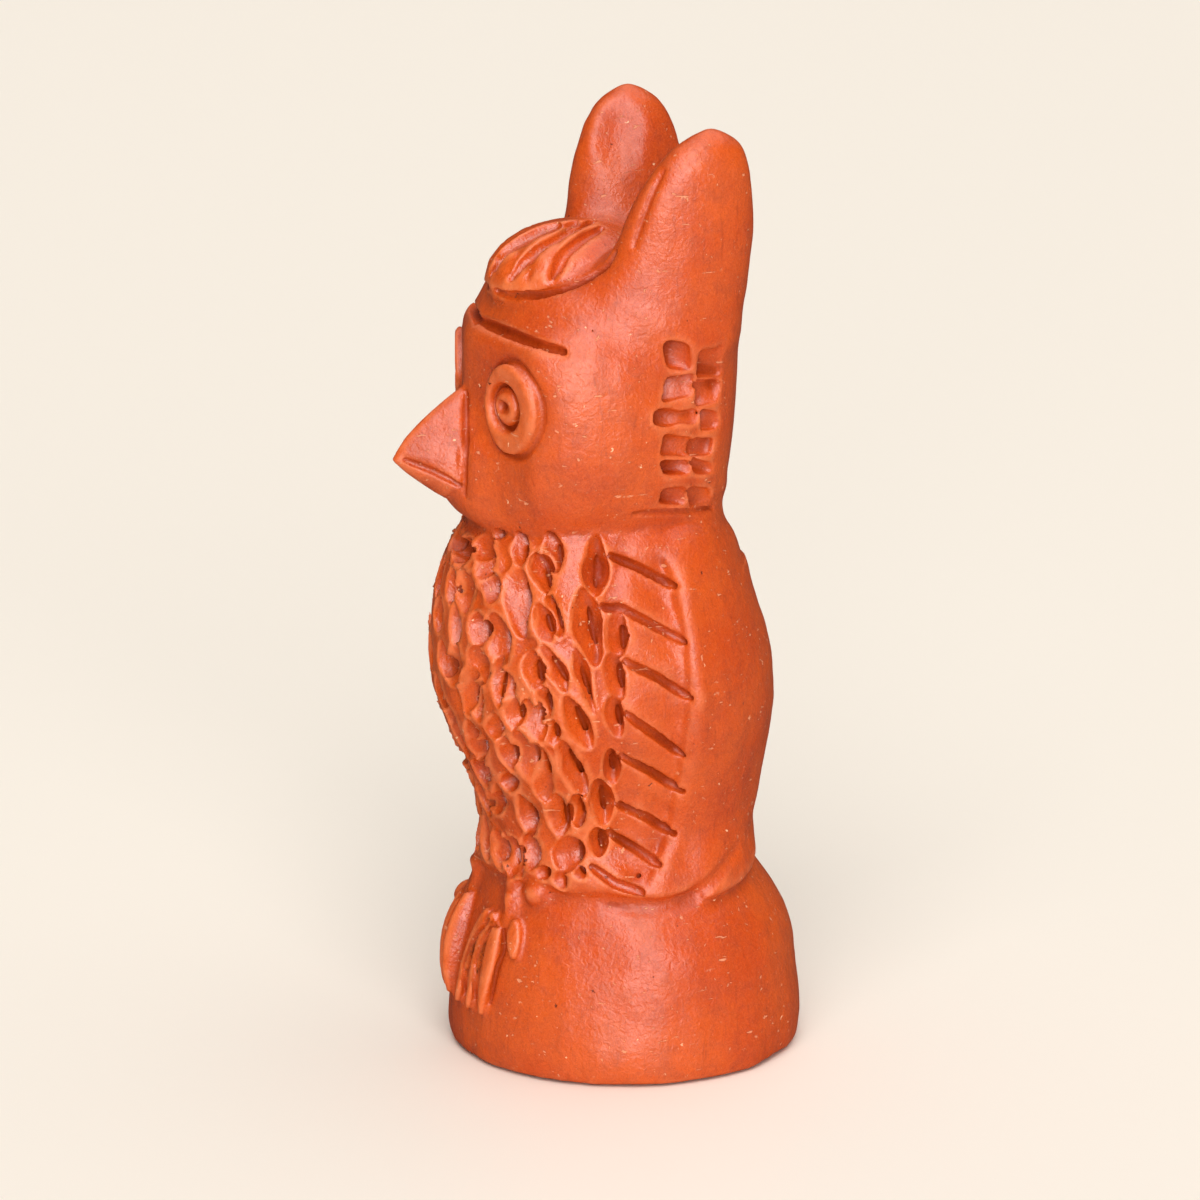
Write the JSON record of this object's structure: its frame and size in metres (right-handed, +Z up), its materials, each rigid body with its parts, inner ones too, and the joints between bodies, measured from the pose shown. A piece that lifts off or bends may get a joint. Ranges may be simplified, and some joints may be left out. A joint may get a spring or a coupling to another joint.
{
  "type": "owl figurine",
  "caption": "Hand-built terracotta owl figurine on a mound base, with gouged breast plumage, folded wings, pinched ears, a pointed beak and an open hollow underside.",
  "frame": {"origin": "middle of the figurine's bounding box, on the plane that it stands on", "axes": "+Z up, the owl faces -Y, +X is the owl's left side"},
  "size_m": [0.0752, 0.0882, 0.2],
  "materials": {
    "burnished_clay": "burnished satin slip",
    "carved_clay": "carved, satin in the cuts",
    "beak_clay": "burnished satin slip",
    "eye_clay": "burnished satin slip"
  },
  "bodies": {
    "root": {"base": "burnished_clay", "body": "burnished_clay", "head": "burnished_clay", "left_ear": "burnished_clay", "right_ear": "burnished_clay", "left_wing": "burnished_clay", "right_wing": "burnished_clay", "breast": "carved_clay", "crest": "carved_clay", "left_leg": "carved_clay", "right_leg": "carved_clay", "left_toe_1": "carved_clay", "left_toe_2": "carved_clay", "left_toe_3": "carved_clay", "left_toe_4": "carved_clay", "right_toe_1": "carved_clay", "right_toe_2": "carved_clay", "right_toe_3": "carved_clay", "right_toe_4": "carved_clay", "upper_beak": "beak_clay", "lower_beak": "beak_clay", "left_eye_ring": "eye_clay", "left_eye_button": "eye_clay", "right_eye_ring": "eye_clay", "right_eye_button": "eye_clay"}
  },
  "joints": []
}
